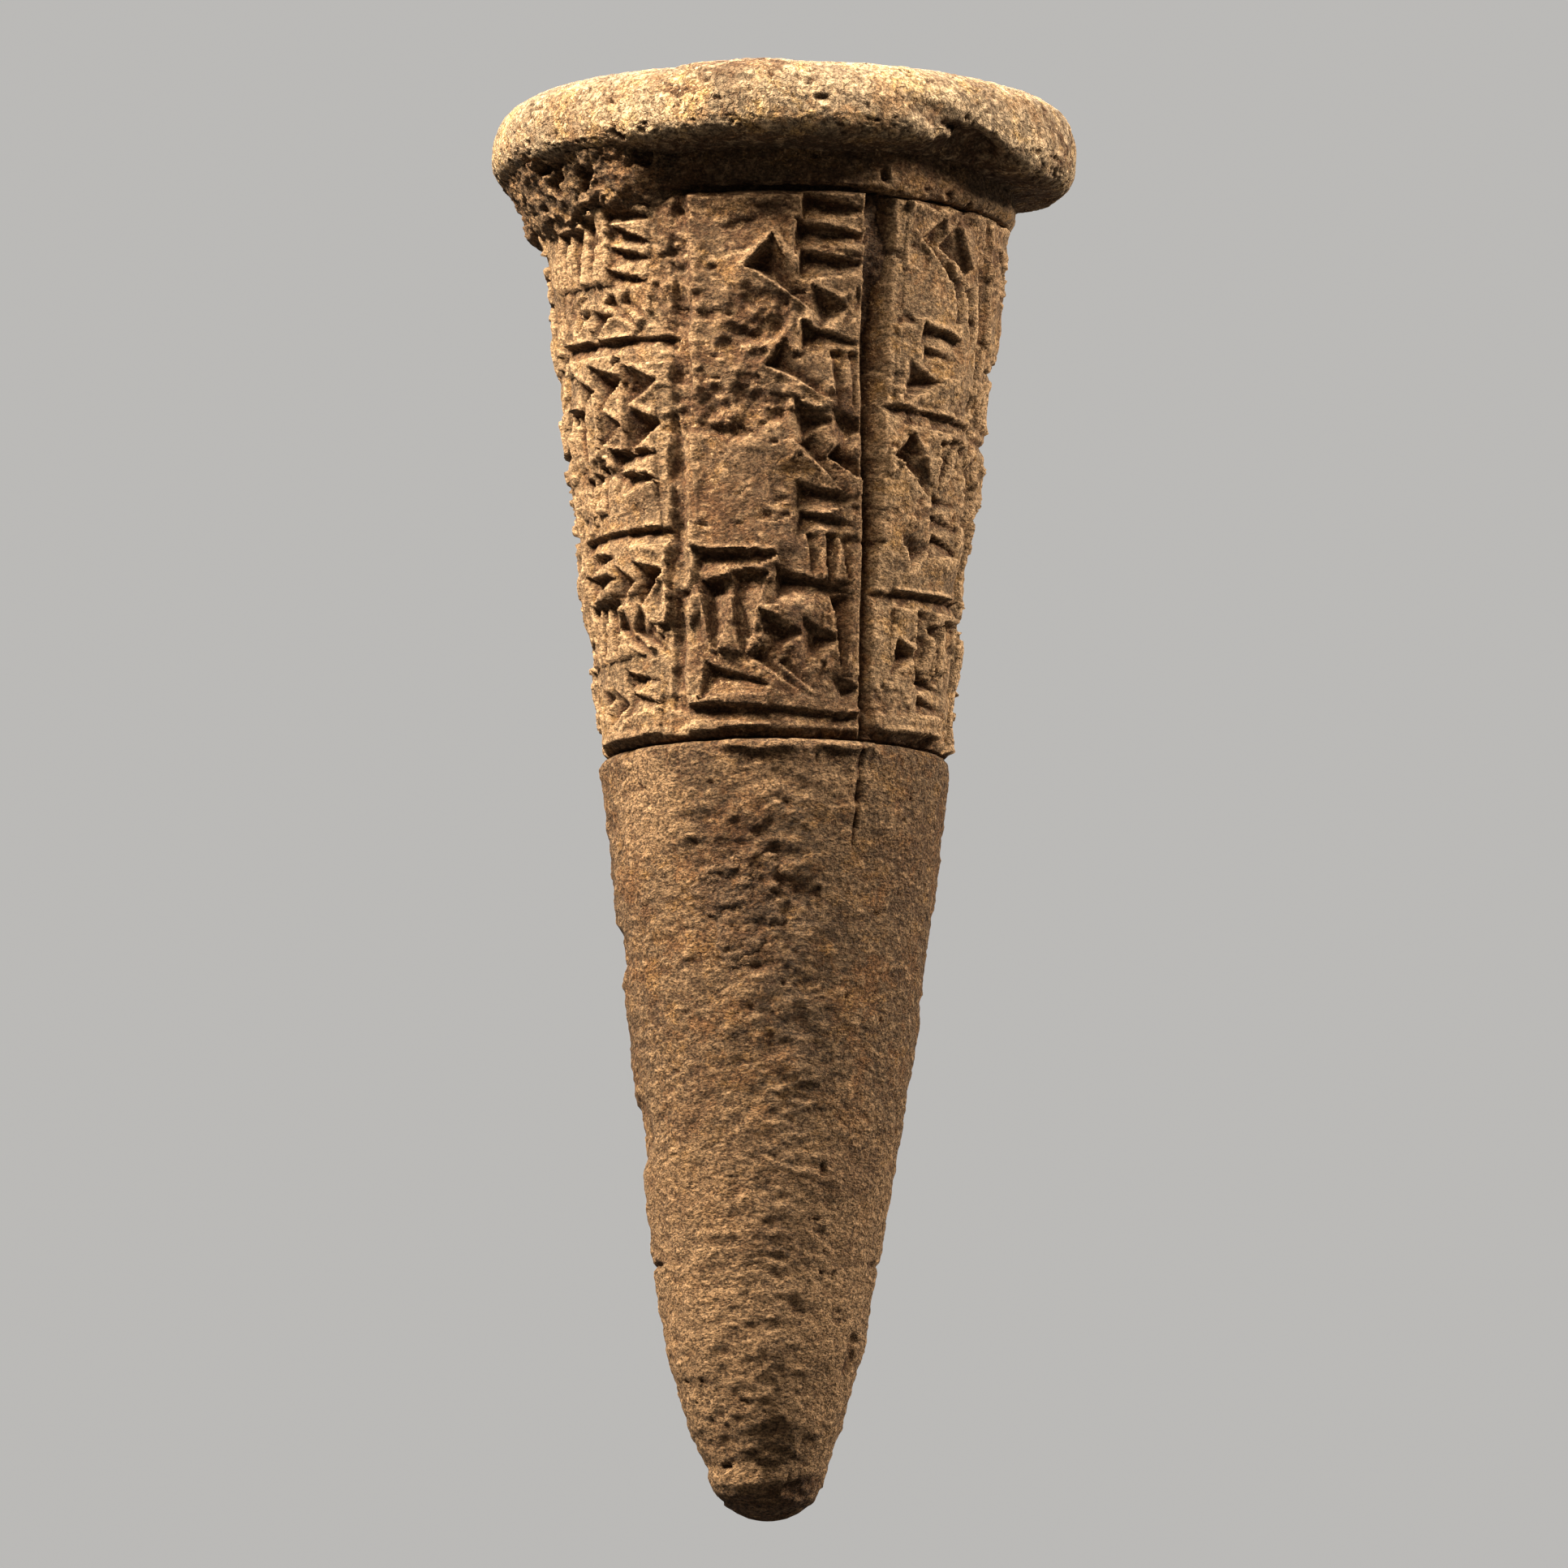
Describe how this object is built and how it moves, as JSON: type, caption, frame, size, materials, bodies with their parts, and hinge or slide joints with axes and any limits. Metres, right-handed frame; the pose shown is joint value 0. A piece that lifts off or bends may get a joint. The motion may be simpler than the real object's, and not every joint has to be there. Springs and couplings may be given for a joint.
{
  "type": "cuneiform foundation cone",
  "caption": "Tapered clay foundation peg with a wide thick-rimmed head, a ruled writing field of wedge strokes below the neck, a plain shaft and a blunt tip.",
  "frame": {"origin": "on the axis of the peg, at the flat top of the head", "axes": "+Z along the axis of the peg, out of the head's flat top; the peg points down to -Z; -Y is the front, the side that the picture shows; +X is to the right in that view"},
  "size_m": [0.056, 0.056, 0.137],
  "materials": {
    "shaft_clay": "matte",
    "field_clay": "matte",
    "head_clay": "matte",
    "luting_clay": "matte",
    "soil": "matte"
  },
  "bodies": {
    "root": {"shaft_core": "shaft_clay", "shaft_tip": "shaft_clay", "writing_sleeve": "field_clay", "neck_collar": "field_clay", "head_disc": "head_clay", "rim_coil": "head_clay", "neck_luting": "luting_clay", "groove_soil": "soil", "shaft_crust": "soil"}
  },
  "joints": []
}
